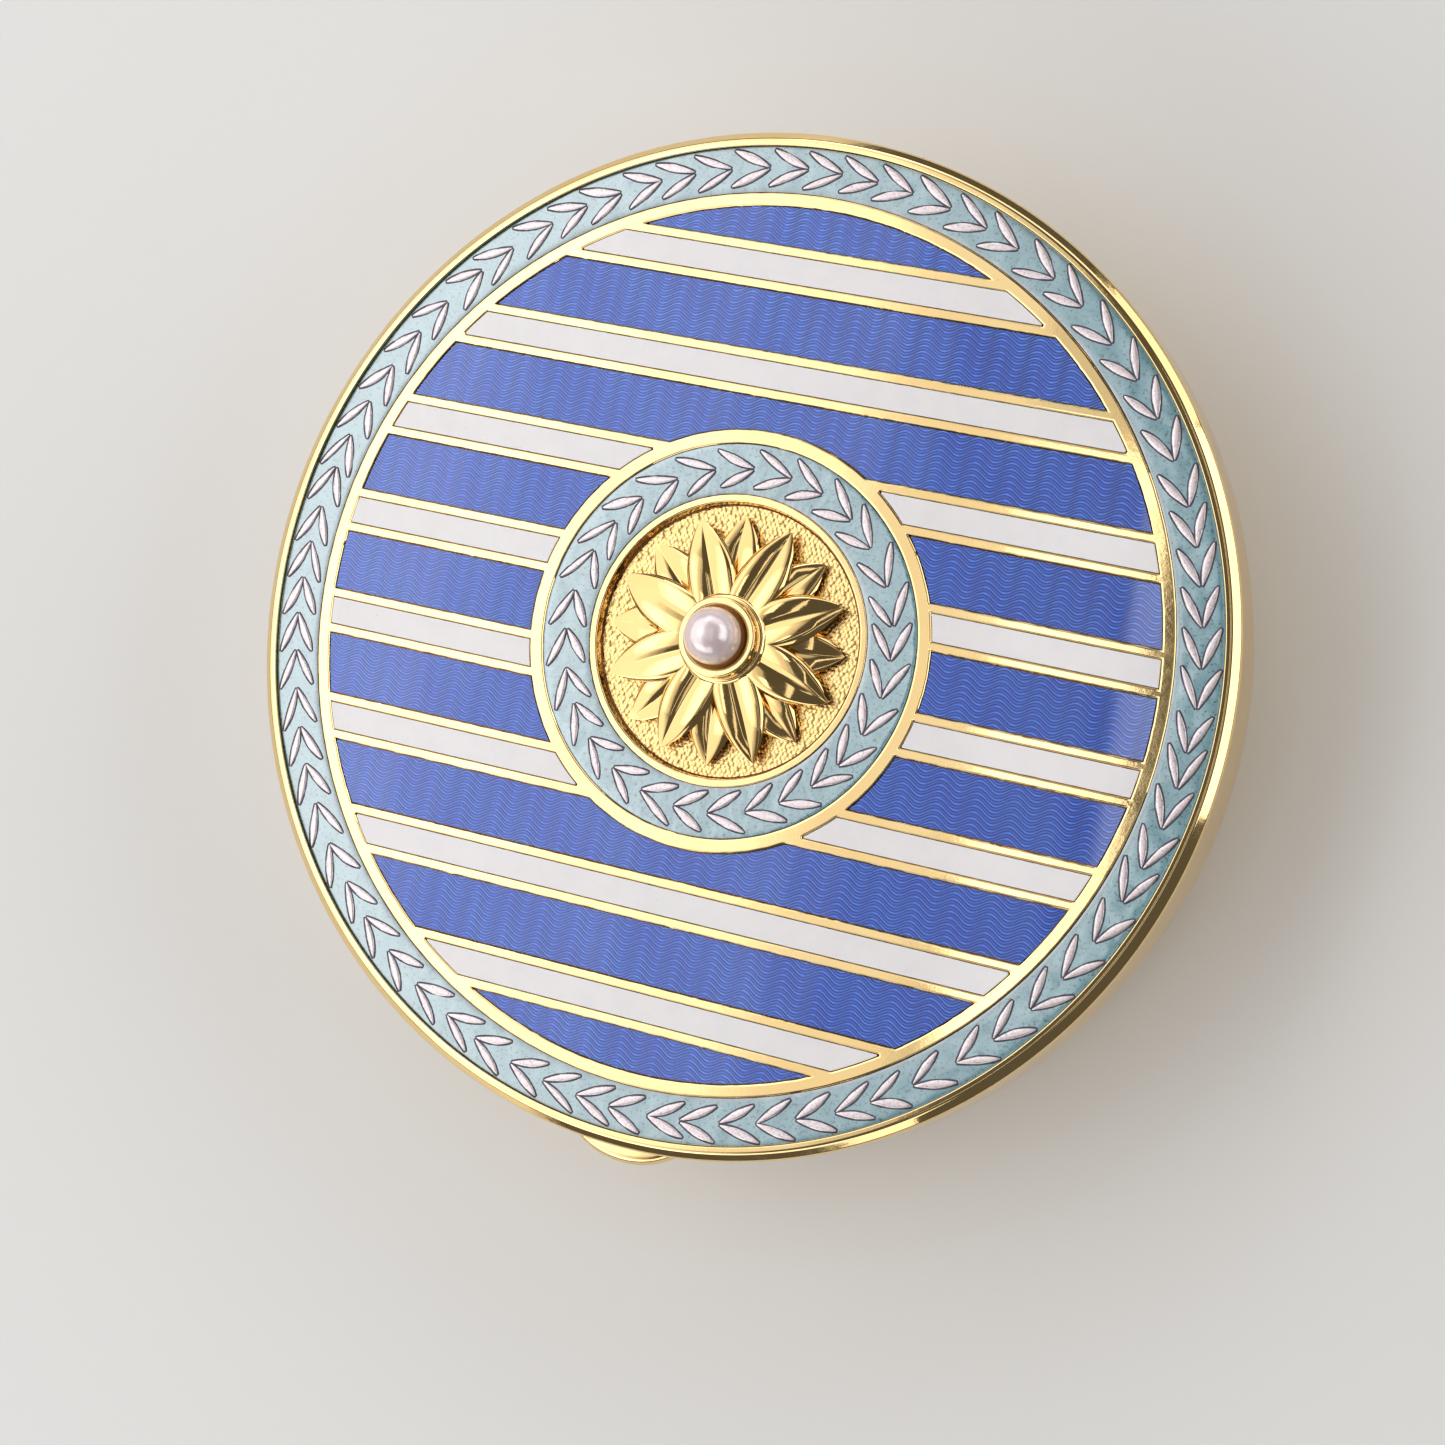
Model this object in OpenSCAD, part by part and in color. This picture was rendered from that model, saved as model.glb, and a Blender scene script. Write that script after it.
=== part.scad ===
// Round hinged pill box in gilt metal with an enamelled lid.
// Origin: centre of the underside. +Z up through the lid, +X along the lid's stripes, +Y to the hinge.

/* [Lid] */
// Outer diameter of the lid
lid_d = 50; // [48:0.5:52]
// Height of the lid's side wall, rim included
lid_wall_h = 2.95; // [2.8:0.05:3.4]
// Thickness of the lid's side wall
lid_wall_t = 0.95; // [0.9:0.05:1.1]
// Width of the flat gold rim round the enamel
rim_w = 0.72; // [0.6:0.02:0.8]
// Radius of the rim's rounded outer edge
rim_round = 0.2; // [0.15:0.05:0.4]
// Height of the rim above the enamel
rim_stand = 0.15; // [0.1:0.05:0.25]

/* [Enamel plate] */
// Thickness of the gold plate that holds the enamel
plate_t = 1.15; // [1.1:0.05:1.3]
// Depth of the enamel cells
cell_depth = 0.4; // [0.3:0.05:0.45]
// Distance from one white stripe to the next
stripe_pitch = 5.2; // [5:0.05:5.3]
// Width of a white stripe
white_w = 1.35; // [1.2:0.05:1.5]
// Width of the gold line beside each stripe
fillet_w = 0.44; // [0.35:0.01:0.5]
// Radius of the striped field
field_r = 21.33; // [21:0.01:21.4]
// Inner radius of the outer leaf ring
outer_ring_r = 21.96; // [21.8:0.01:22]
// Outer radius of the gold ring round the medallion
medallion_r = 10.3; // [10.1:0.05:10.4]
// Outer radius of the inner leaf ring
inner_ring_ro = 9.61; // [9.5:0.01:9.7]
// Inner radius of the inner leaf ring
inner_ring_ri = 7.12; // [7:0.01:7.2]
// Thickness of the polished disc inside the lid
lining_t = 0.3; // [0.25:0.05:0.35]

/* [Leaves] */
// Pairs of leaves in the outer ring
outer_pairs = 72; // [60:1:72]
// Pairs of leaves in the inner ring
inner_pairs = 28; // [24:1:28]
// Widest part of a leaf
leaf_w = 0.4; // [0.3:0.02:0.44]
// How far the leaves stand above the enamel
leaf_h = 0.1; // [0.06:0.02:0.12]

/* [Rosette] */
// Radius of the sunk ground under the flower
recess_r = 6.6; // [6.4:0.05:6.8]
// Depth of the ground below the gold plate's face
recess_depth = 0.5; // [0.4:0.05:0.55]
// Petals in each of the two layers
petals = 8; // [6:1:8]
// Distance from the centre to a petal's tip
petal_r = 6.1; // [5.8:0.05:6.2]
// Widest part of a petal
petal_w = 2.1; // [1.8:0.05:2.2]
// Outer radius of the pearl's collet
collet_r = 2.2; // [2.1:0.05:2.3]
// Diameter of the pearl
pearl_d = 2.8; // [2.6:0.05:2.9]

/* [Base] */
// Height of the base, up to the seam
base_h = 9; // [8:0.25:10]
// Outer radius of the base at the seam
base_top_r = 24.45; // [24.4:0.05:24.6]
// Height of the upright collar below the seam
collar_h = 2; // [2:0.25:3]
// Radius of the flat underside
base_foot_r = 21.3; // [21:0.1:22]
// Thickness of the base's side wall
base_wall_t = 0.8; // [0.75:0.05:0.9]
// Thickness of the bottom plate
bottom_t = 0.8; // [0.6:0.1:1]
// Height of the bezel above the seam
bezel_rise = 1.2; // [1:0.1:1.2]
// Thickness of the bezel
bezel_t = 0.6; // [0.5:0.05:0.7]

/* [Hinge and thumbpiece] */
// Length of the hinge barrel
hinge_len = 7; // [6.5:0.5:7]
// Knuckles in the barrel, odd
knuckles = 5; // [5:2:7]
// Radius of the barrel
barrel_r = 0.58; // [0.54:0.01:0.6]
// Radius of the hinge pin
pin_r = 0.28; // [0.25:0.01:0.3]
// How far the thumbpiece stands out of the lid
thumb_reach = 0.9; // [0.6:0.1:1.2]

/* [Hidden] */
$fn = 180;
EPS = 0.01;
lid_r = lid_d / 2;
seam_gap = 0.05;
lid_z0 = base_h + seam_gap;
lid_z1 = lid_z0 + lid_wall_h;
face_z = lid_z1 - rim_stand;
plate_r = lid_r - rim_w;
plate_z0 = face_z - plate_t;
cell_z = face_z - cell_depth;
lid_bore_r = lid_r - lid_wall_t;
lining_z0 = plate_z0 - lining_t;
blue_w = stripe_pitch - white_w - 2 * fillet_w;

// Medallion levels, from the sunk ground up to the collet
ground_t = 0.25;
ground_z = face_z - recess_depth;
petal_t = 0.4;
front_z = ground_z + petal_t;
collet_z = front_z + petal_t;
collet_h = 1.1;
collet_bore_r = pearl_d / 2 + 0.25;
collet_floor_t = 0.2;
pearl_z = collet_z + collet_floor_t + pearl_d / 2;
petal_root_r = 1.2;
rosette_hub_r = 2.1;
stud_r = 0.5;
stud_head_r = 1.3;
stud_head_t = 0.35;
peg_r = 0.3;
peg_h = 1.0;

// Turning angles of the two petal layers and the two leaf rings
front_turn = 26;
back_turn = 3.5;
outer_turn = 3.5;
inner_turn = 5.7;

// Each ring's leaves: radius of the point, radii of the two tips, and the angle between point and tip
outer_leaf = [23.2, 24.08, 22.3, 4.5];
inner_leaf = [8.38, 9.35, 7.44, 11.6];

// Base and bezel
base_curve = base_top_r - base_foot_r;
bowl_h = base_h - collar_h;
base_steps = 24;
bezel_gap = 0.12;
bezel_r = lid_bore_r - bezel_gap;
bezel_foot = 2;
bead_r = 0.12;
bead_proud = 0.07;
bead_angle = 16;

// Hinge
hinge_y = lid_r - 0.4;
hinge_z = base_h;
barrel_gap = 0.1;
knuckle_gap = 0.1;
pin_gap = 0.03;
pin_over = 0.15;
knuckle_w = (hinge_len - (knuckles - 1) * knuckle_gap) / knuckles;
saddle_h = 1.8;
saddle_y = hinge_y + 0.28;

// Thumbpiece
thumb_r = 4.2;
thumb_t = 1;
thumb_z = lid_z0 + 0.4;

// Rows of enamel: [row, side], where side 0 runs right across and -1 or 1 stops at the medallion
BLUE = [for (row = [-4:4]) for (side = abs(row) < 2 ? [-1, 1] : [0]) [row, side]];
WHITE = [for (row = [-3.5:3.5]) for (side = abs(row) < 2 ? [-1, 1] : [0]) [row, side]];

// Helpers

module tube(r_out, r_in, z0, z1) {
    translate([0, 0, z0])
        difference() {
            cylinder(r = r_out, h = z1 - z0);
            translate([0, 0, -1])
                cylinder(r = r_in, h = z1 - z0 + 2);
        }
}

module disc(r, z0, z1) {
    translate([0, 0, z0])
        cylinder(r = r, h = z1 - z0);
}

// A lens between two points in plan, as a prism from z0 to z1
module lens(p, q, width, z0, z1) {
    span = norm(q - p);
    bow = (span * span + width * width) / (4 * width);
    off = bow - width / 2;
    turn = atan2(q[1] - p[1], q[0] - p[0]);
    translate([(p[0] + q[0]) / 2, (p[1] + q[1]) / 2, z0])
        rotate(turn)
            intersection() {
                translate([0, off, 0])
                    cylinder(r = bow, h = z1 - z0);
                translate([0, -off, 0])
                    cylinder(r = bow, h = z1 - z0);
            }
}

function polar(r, angle) = [r * cos(angle), r * sin(angle)];

// One enamel cell: a stripe of the given width cut to the field, clear of the medallion
module cell(row, side, width, z0, z1) {
    x0 = side > 0 ? 0 : -lid_r;
    x1 = side < 0 ? 0 : lid_r;
    difference() {
        intersection() {
            translate([x0, row * stripe_pitch - width / 2, z0])
                cube([x1 - x0, width, z1 - z0]);
            disc(field_r, z0, z1);
        }
        disc(medallion_r, z0 - 1, z1 + 1);
    }
}

// Knuckle number i of the hinge barrel, from its left end
function knuckle_x(i) = -hinge_len / 2 + i * (knuckle_w + knuckle_gap);

// Lengthwise cylinder on the hinge axis
module axle(x0, x1, r) {
    translate([x0, hinge_y, hinge_z])
        rotate([0, 90, 0])
            cylinder(r = r, h = x1 - x0);
}

// Room for the knuckles that belong to the other half (parity 0 for the base's, 1 for the lid's)
module knuckle_room(parity) {
    for (i = [0:knuckles - 1])
        if (i % 2 == parity)
            axle(knuckle_x(i) - knuckle_gap, knuckle_x(i) + knuckle_w + knuckle_gap, barrel_r + barrel_gap);
}

// Knuckles of one half, as solid bars
module knuckle_bars(parity) {
    for (i = [0:knuckles - 1])
        if (i % 2 == parity)
            axle(knuckle_x(i), knuckle_x(i) + knuckle_w, barrel_r);
}

// Outside radius of the bowl at height z: a quarter ellipse that meets the collar upright
function base_r(z) = base_foot_r + base_curve * sqrt(1 - pow(1 - z / bowl_h, 2));

// The bowl filled solid above z0, its wall moved in by inset
module base_outline(inset, z0) {
    rotate_extrude()
        polygon(concat(
            [[0, z0], [base_r(z0) - inset, z0]],
            [for (i = [1:base_steps])
                let (z = bowl_h * (1 - cos(90 * i / base_steps)))
                if (z > z0)
                    [base_r(z) - inset, z]],
            [[base_top_r - inset, base_h], [0, base_h]]
        ));
}

// Lid

module lid_rim() {
    color("goldenrod")
        difference() {
            rotate_extrude()
                difference() {
                    union() {
                        translate([lid_bore_r, lid_z0])
                            square([lid_wall_t, lid_wall_h - rim_round]);
                        translate([lid_bore_r, lid_z1 - rim_round - EPS])
                            square([lid_wall_t - rim_round, rim_round + EPS]);
                        translate([lid_r - rim_round, lid_z1 - rim_round])
                            circle(r = rim_round);
                    }
                    translate([0, plate_z0])
                        square([plate_r, plate_t + 1]);
                }
            knuckle_room(0);
            knuckle_bars(1);
        }
}

module enamel_plate() {
    color("gold")
        difference() {
            disc(plate_r, plate_z0, face_z);
            for (c = BLUE)
                cell(c[0], c[1], blue_w, cell_z, face_z + 1);
            for (c = WHITE)
                cell(c[0], c[1], white_w, cell_z, face_z + 1);
            tube(lid_r, outer_ring_r, cell_z, face_z + 1);
            tube(inner_ring_ro, inner_ring_ri, cell_z, face_z + 1);
            disc(recess_r, ground_z - ground_t, face_z + 1);
            disc(stud_r, plate_z0 - 1, face_z);
        }
}

module lid_lining() {
    color("gold")
        tube(lid_bore_r, stud_r, lining_z0, plate_z0);
}

module thumbpiece() {
    color("goldenrod")
        difference() {
            translate([0, -(lid_r + thumb_reach - thumb_r), thumb_z])
                cylinder(r = thumb_r, h = thumb_t);
            disc(lid_r, thumb_z - 1, thumb_z + thumb_t + 1);
        }
}

module lid_knuckles() {
    color("goldenrod")
        difference() {
            knuckle_bars(1);
            axle(-hinge_len, hinge_len, pin_r + pin_gap);
        }
}

module blue_enamel(i) {
    color("royalblue")
        cell(BLUE[i][0], BLUE[i][1], blue_w, cell_z, face_z);
}

module white_enamel(i) {
    color("whitesmoke")
        cell(WHITE[i][0], WHITE[i][1], white_w, cell_z, face_z);
}

module outer_enamel_ring() {
    color("mediumturquoise")
        tube(plate_r, outer_ring_r, cell_z, face_z);
}

module inner_enamel_ring() {
    color("mediumturquoise")
        tube(inner_ring_ro, inner_ring_ri, cell_z, face_z);
}

// Chevrons of two leaves, pointing clockwise
module leaf_ring(pairs, turn, shape) {
    for (i = [0:pairs - 1])
        for (tip_r = [shape[1], shape[2]]) {
            angle = turn + i * 360 / pairs;
            point = polar(shape[0] + (tip_r - shape[0]) * 0.08, angle);
            tip = polar(tip_r, angle + shape[3]);
            lens(point, tip, leaf_w, face_z, face_z + leaf_h);
        }
}

module outer_leaves() {
    color("mistyrose")
        leaf_ring(outer_pairs, outer_turn, outer_leaf);
}

module inner_leaves() {
    color("mistyrose")
        leaf_ring(inner_pairs, inner_turn, inner_leaf);
}

module medallion_ground() {
    color("darkgoldenrod")
        tube(recess_r, stud_r, ground_z - ground_t, ground_z);
}

// One layer of petals round a hub
module rosette(turn, z0) {
    difference() {
        union() {
            disc(rosette_hub_r, z0, z0 + petal_t);
            for (i = [0:petals - 1]) {
                angle = turn + i * 360 / petals;
                lens(polar(petal_root_r, angle), polar(petal_r, angle), petal_w, z0, z0 + petal_t);
            }
        }
        disc(stud_r, z0 - 1, z0 + petal_t + 1);
    }
}

module back_petals() {
    color("goldenrod")
        rosette(back_turn, ground_z);
}

module front_petals() {
    color("gold")
        rosette(front_turn, front_z);
}

module rosette_stud() {
    color("goldenrod") {
        disc(stud_r, lining_z0, collet_z);
        disc(stud_head_r, lining_z0 - stud_head_t, lining_z0);
    }
}

module collet() {
    color("goldenrod")
        difference() {
            disc(collet_r, collet_z, collet_z + collet_h);
            disc(collet_bore_r, collet_z + collet_floor_t, collet_z + collet_h + 1);
        }
}

module pearl_peg() {
    color("goldenrod")
        disc(peg_r, collet_z + collet_floor_t, collet_z + collet_floor_t + peg_h);
}

module pearl() {
    color("seashell")
        difference() {
            translate([0, 0, pearl_z])
                sphere(r = pearl_d / 2);
            disc(peg_r, collet_z, collet_z + collet_floor_t + peg_h);
        }
}

// Base

module base_bowl() {
    color("goldenrod")
        difference() {
            base_outline(0, 0);
            base_outline(base_wall_t, bottom_t);
            disc(base_foot_r - base_wall_t, -1, bottom_t + 1);
            disc(bezel_r, base_h - bezel_foot, base_h + 1);
            knuckle_room(1);
            knuckle_bars(0);
        }
}

module bottom_plate() {
    color("gold")
        disc(base_foot_r - base_wall_t, 0, bottom_t);
}

module bezel_ring() {
    color("gold")
        tube(bezel_r, bezel_r - bezel_t, base_h - bezel_foot, base_h + bezel_rise);
}

// Ridge at the front of the bezel that holds the lid shut
module catch_bead() {
    color("gold")
        difference() {
            translate([0, 0, base_h + bezel_rise / 2])
                rotate(-90 - bead_angle / 2)
                    rotate_extrude(angle = bead_angle)
                        translate([bezel_r + bead_proud - bead_r, 0])
                            circle(r = bead_r);
            disc(bezel_r, base_h, base_h + bezel_rise);
        }
}

// Block that carries the base's knuckles on the curved wall
module hinge_saddle() {
    color("goldenrod")
        difference() {
            translate([-hinge_len / 2, 0, hinge_z - saddle_h])
                cube([hinge_len, saddle_y, saddle_h]);
            disc(base_top_r, hinge_z - saddle_h - 1, hinge_z + 1);
            knuckle_room(1);
            knuckle_bars(0);
        }
}

module base_knuckles() {
    color("goldenrod")
        difference() {
            knuckle_bars(0);
            axle(-hinge_len, hinge_len, pin_r);
        }
}

module hinge_pin() {
    color("gold")
        axle(-hinge_len / 2 - pin_over, hinge_len / 2 + pin_over, pin_r);
}

lid_rim();
enamel_plate();
lid_lining();
thumbpiece();
lid_knuckles();
for (i = [1:len(BLUE)])
    blue_enamel(i - 1);
for (i = [1:len(WHITE)])
    white_enamel(i - 1);
outer_enamel_ring();
inner_enamel_ring();
outer_leaves();
inner_leaves();
medallion_ground();
back_petals();
front_petals();
rosette_stud();
collet();
pearl_peg();
pearl();
base_bowl();
bottom_plate();
bezel_ring();
catch_bead();
hinge_saddle();
base_knuckles();
hinge_pin();
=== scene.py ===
"""Looks for the round enamelled pill box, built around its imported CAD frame.

Mesh code works in millimetres; build() turns the finished points into metres.
"""

import math

import bmesh
import bpy
import numpy as np
from mathutils import Matrix, Vector, kdtree, noise
from mathutils.geometry import tessellate_polygon


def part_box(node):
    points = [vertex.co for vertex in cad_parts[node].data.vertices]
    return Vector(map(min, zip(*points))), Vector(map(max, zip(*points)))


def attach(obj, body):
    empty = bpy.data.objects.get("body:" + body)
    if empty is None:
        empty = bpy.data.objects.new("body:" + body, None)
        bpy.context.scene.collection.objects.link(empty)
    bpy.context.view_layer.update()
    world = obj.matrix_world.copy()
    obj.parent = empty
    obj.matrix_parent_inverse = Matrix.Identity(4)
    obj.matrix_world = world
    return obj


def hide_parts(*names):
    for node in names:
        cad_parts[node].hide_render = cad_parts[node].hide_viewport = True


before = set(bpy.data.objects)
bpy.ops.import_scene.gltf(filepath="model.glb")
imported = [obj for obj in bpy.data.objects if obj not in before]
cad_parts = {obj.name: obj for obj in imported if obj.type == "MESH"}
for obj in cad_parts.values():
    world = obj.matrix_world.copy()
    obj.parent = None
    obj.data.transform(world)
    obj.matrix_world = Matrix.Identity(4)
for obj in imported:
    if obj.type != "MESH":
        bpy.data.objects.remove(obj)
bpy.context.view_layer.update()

MM = 0.001
TAU = 2 * math.pi
rng = np.random.default_rng(11)


# ---------------------------------------------------------------- sizes, read from the frame

def node_points(node):
    """All points of a CAD node, in millimetres."""
    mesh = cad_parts[node].data
    co = np.empty(len(mesh.vertices) * 3)
    mesh.vertices.foreach_get("co", co)
    return co.reshape(-1, 3) / MM


def radii(node):
    """Smallest and largest distance of a CAD node from the Z axis."""
    co = node_points(node)
    reach = np.hypot(co[:, 0], co[:, 1])
    return float(reach.min()), float(reach.max())


def levels(node):
    """Lowest and highest level of a CAD node."""
    low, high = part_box(node)
    return low.z / MM, high.z / MM


LID_BORE_R, LID_R = radii("lid_rim")
RIM_Z0, RIM_Z1 = levels("lid_rim")
PLATE_R = radii("enamel_plate")[1]
PLATE_Z0, FACE_Z = levels("enamel_plate")
CELL_Z = levels("white_enamel_1")[0]
FIELD_R = radii("blue_enamel_1")[1]
MEDALLION_R = radii("blue_enamel_6")[0]
OUTER_RING = radii("outer_enamel_ring")
INNER_RING = radii("inner_enamel_ring")
RECESS_R = radii("medallion_ground")[1]
GROUND_Z = levels("medallion_ground")[1]
PETAL_R = radii("front_petals")[1]
STUD_R = radii("medallion_ground")[0]
COLLET_R = radii("collet")[1]
COLLET_Z = levels("collet")
PEARL_Z = levels("pearl")
BLUE = [f"blue_enamel_{i}" for i in range(1, 13)]
WHITE = [f"white_enamel_{i}" for i in range(1, 13)]

# Width of the dark gap between an enamel fill and the gold round it
GAP = 0.045


# ---------------------------------------------------------------- mesh helpers

def build(name, points, faces, node_list, body, material, sharp=40.0):
    """A piece from points in millimetres, riding on a body and standing for CAD nodes."""
    mesh = bpy.data.meshes.new(name)
    mesh.from_pydata((np.asarray(points, float) * MM).tolist(), [], faces)
    mesh.update()
    return settle(mesh, name, node_list, body, material, sharp)


def settle(mesh, name, node_list, body, material, sharp=40.0):
    """Makes a mesh in metres into a finished piece."""
    mesh.shade_smooth()
    mesh.set_sharp_from_angle(angle=math.radians(sharp))
    obj = bpy.data.objects.new(name, mesh)
    bpy.context.scene.collection.objects.link(obj)
    mesh.materials.append(material)
    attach(obj, body)
    if node_list:
        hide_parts(*node_list)
    return obj


def from_bmesh(bm, name, node_list, body, material, sharp=40.0):
    """The same from a bmesh in millimetres."""
    mesh = bpy.data.meshes.new(name)
    bmesh.ops.recalc_face_normals(bm, faces=bm.faces)
    bmesh.ops.scale(bm, vec=(MM, MM, MM), verts=bm.verts)
    bm.to_mesh(mesh)
    bm.free()
    return settle(mesh, name, node_list, body, material, sharp)


def grid_faces(rows, cols, start=0, wrap_rows=False, wrap_cols=False):
    """Quads of a rows by cols grid of points."""
    quads = []
    for i in range(rows if wrap_rows else rows - 1):
        ni = (i + 1) % rows
        for j in range(cols if wrap_cols else cols - 1):
            nj = (j + 1) % cols
            quads.append((start + i * cols + j, start + i * cols + nj,
                          start + ni * cols + nj, start + ni * cols + j))
    return quads


def rounded(outline, radius, steps=4):
    """A closed (r, z) outline with its corners rounded by up to radius.

    One more point past each end of a rounding keeps the straight parts flat.
    """
    result = []
    count = len(outline)
    for i in range(count):
        before, here, after = (Vector(outline[(i + k) % count]) for k in (-1, 0, 1))
        to_before, to_after = before - here, after - here
        size = radius[i] if isinstance(radius, (list, tuple)) else radius
        cut = min(size, 0.42 * to_before.length, 0.42 * to_after.length)
        if cut < 1e-6:
            result.append(tuple(here))
            continue
        a = here + to_before.normalized() * cut
        b = here + to_after.normalized() * cut
        result.append(tuple(here + to_before.normalized() * cut * 1.12))
        for k in range(steps + 1):
            t = k / steps
            result.append(tuple(a * (1 - t) ** 2 + here * 2 * t * (1 - t) + b * t * t))
        result.append(tuple(here + to_after.normalized() * cut * 1.12))
    return result


def lathe(outline, segments=256, start=0):
    """Points and faces of a closed (r, z) outline turned round the Z axis."""
    turn = np.arange(segments) * TAU / segments
    rows = np.array(outline)
    points = np.empty((segments, len(rows), 3))
    points[:, :, 0] = np.cos(turn)[:, None] * rows[:, 0]
    points[:, :, 1] = np.sin(turn)[:, None] * rows[:, 0]
    points[:, :, 2] = rows[:, 1]
    return points.reshape(-1, 3), grid_faces(segments, len(rows), start, True, True)


def turned(name, outline, node_list, body, material, segments=256, sharp=40.0):
    """A turned ring or, where the outline starts and ends on the axis, a turned disc."""
    points, faces = lathe(outline, segments)
    bm = bmesh.new()
    verts = [bm.verts.new(p) for p in points]
    for face in faces:
        bm.faces.new([verts[i] for i in face])
    bmesh.ops.remove_doubles(bm, verts=bm.verts, dist=1e-4)
    bmesh.ops.dissolve_degenerate(bm, edges=bm.edges, dist=1e-5)
    return from_bmesh(bm, name, node_list, body, material, sharp)


def solid_from_grid(bm, rows, floor):
    """Adds a closed solid to bm: a grid of top points, straight sides and a flat floor at z = floor."""
    rows = np.asarray(rows)
    n, m = rows.shape[:2]
    top = [[bm.verts.new(rows[i, j]) for j in range(m)] for i in range(n)]
    for i in range(n - 1):
        for j in range(m - 1):
            bm.faces.new((top[i][j], top[i + 1][j], top[i + 1][j + 1], top[i][j + 1]))
    rim = [top[0][j] for j in range(m)]
    rim += [top[i][m - 1] for i in range(1, n)]
    rim += [top[n - 1][j] for j in range(m - 2, -1, -1)]
    rim += [top[i][0] for i in range(n - 2, 0, -1)]
    low = [bm.verts.new((v.co.x, v.co.y, floor)) for v in rim]
    for k in range(len(rim)):
        nk = (k + 1) % len(rim)
        bm.faces.new((rim[k], rim[nk], low[nk], low[k]))
    bm.faces.new(low)


def wander(x, y, scale, seed=0.0):
    """Smooth noise between about -1 and 1 at a point in plan."""
    return noise.noise(Vector((x / scale, y / scale, seed)))


# ---------------------------------------------------------------- materials

def material(name, **values):
    """A Principled material with plain values set on the shader's own sockets."""
    made = bpy.data.materials.new(name)
    made.use_nodes = True
    tree = made.node_tree
    shader = tree.nodes["Principled BSDF"]
    for key, value in values.items():
        shader.inputs[key.replace("_", " ").title().replace("Ior", "IOR")].default_value = value
    return made, tree, shader


def node_of(tree, kind, inputs=None, **settings):
    """A shader node with its settings, and its inputs set or linked."""
    node = tree.nodes.new(kind)
    for key, value in settings.items():
        setattr(node, key, value)
    for key, value in (inputs or {}).items():
        if isinstance(value, bpy.types.NodeSocket):
            tree.links.new(value, node.inputs[key])
        else:
            node.inputs[key].default_value = value
    return node


def place(tree):
    """Object coordinates in metres."""
    return node_of(tree, "ShaderNodeTexCoord").outputs["Object"]


def noise_of(tree, where, per_mm, detail=3.0, rough=0.55, distortion=0.0):
    """Noise that repeats about per_mm times in a millimetre."""
    return node_of(tree, "ShaderNodeTexNoise",
                   {"Vector": where, "Scale": per_mm / MM, "Detail": detail,
                    "Roughness": rough, "Distortion": distortion}).outputs["Fac"]


def ramp(tree, fac, stops):
    """A colour ramp through (position, colour) stops."""
    node = node_of(tree, "ShaderNodeValToRGB", {"Fac": fac})
    elements = node.color_ramp.elements
    while len(elements) < len(stops):
        elements.new(0.5)
    for element, (position, colour) in zip(elements, stops):
        element.position = position
        element.color = (*colour, 1) if len(colour) == 3 else colour
    return node.outputs["Color"]


def span(tree, value, low, high, to_low=0.0, to_high=1.0):
    """A value mapped from one range to another, clamped."""
    return node_of(tree, "ShaderNodeMapRange",
                   {"Value": value, "From Min": low, "From Max": high,
                    "To Min": to_low, "To Max": to_high}).outputs["Result"]


def mix(tree, fac, a, b, blend="MIX"):
    """Two colours mixed."""
    node = node_of(tree, "ShaderNodeMix", data_type="RGBA", blend_type=blend)
    for index, value in ((0, fac), (6, a), (7, b)):
        if isinstance(value, bpy.types.NodeSocket):
            tree.links.new(value, node.inputs[index])
        else:
            node.inputs[index].default_value = value if index == 0 else (*value, 1)
    return node.outputs[2]


def maths(tree, operation, a, b=0.0):
    """One arithmetic step."""
    return node_of(tree, "ShaderNodeMath", {0: a, 1: b}, operation=operation).outputs[0]


def bump(tree, height, depth_mm, strength=1.0, normal=None):
    """A bump of the given real depth."""
    inputs = {"Height": height, "Distance": depth_mm * MM, "Strength": strength}
    if normal is not None:
        inputs["Normal"] = normal
    return node_of(tree, "ShaderNodeBump", inputs).outputs["Normal"]


def height_of(tree, where):
    """The Z coordinate, in metres."""
    return node_of(tree, "ShaderNodeSeparateXYZ", {"Vector": where}).outputs["Z"]


GOLD = (0.86, 0.63, 0.30)
GOLD_DEEP = (0.85, 0.60, 0.265)
GOLD_PALE = (0.87, 0.66, 0.33)
PETAL_TONES = ((0.78, 0.52, 0.205), (0.81, 0.56, 0.235), (0.84, 0.60, 0.27))


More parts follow.
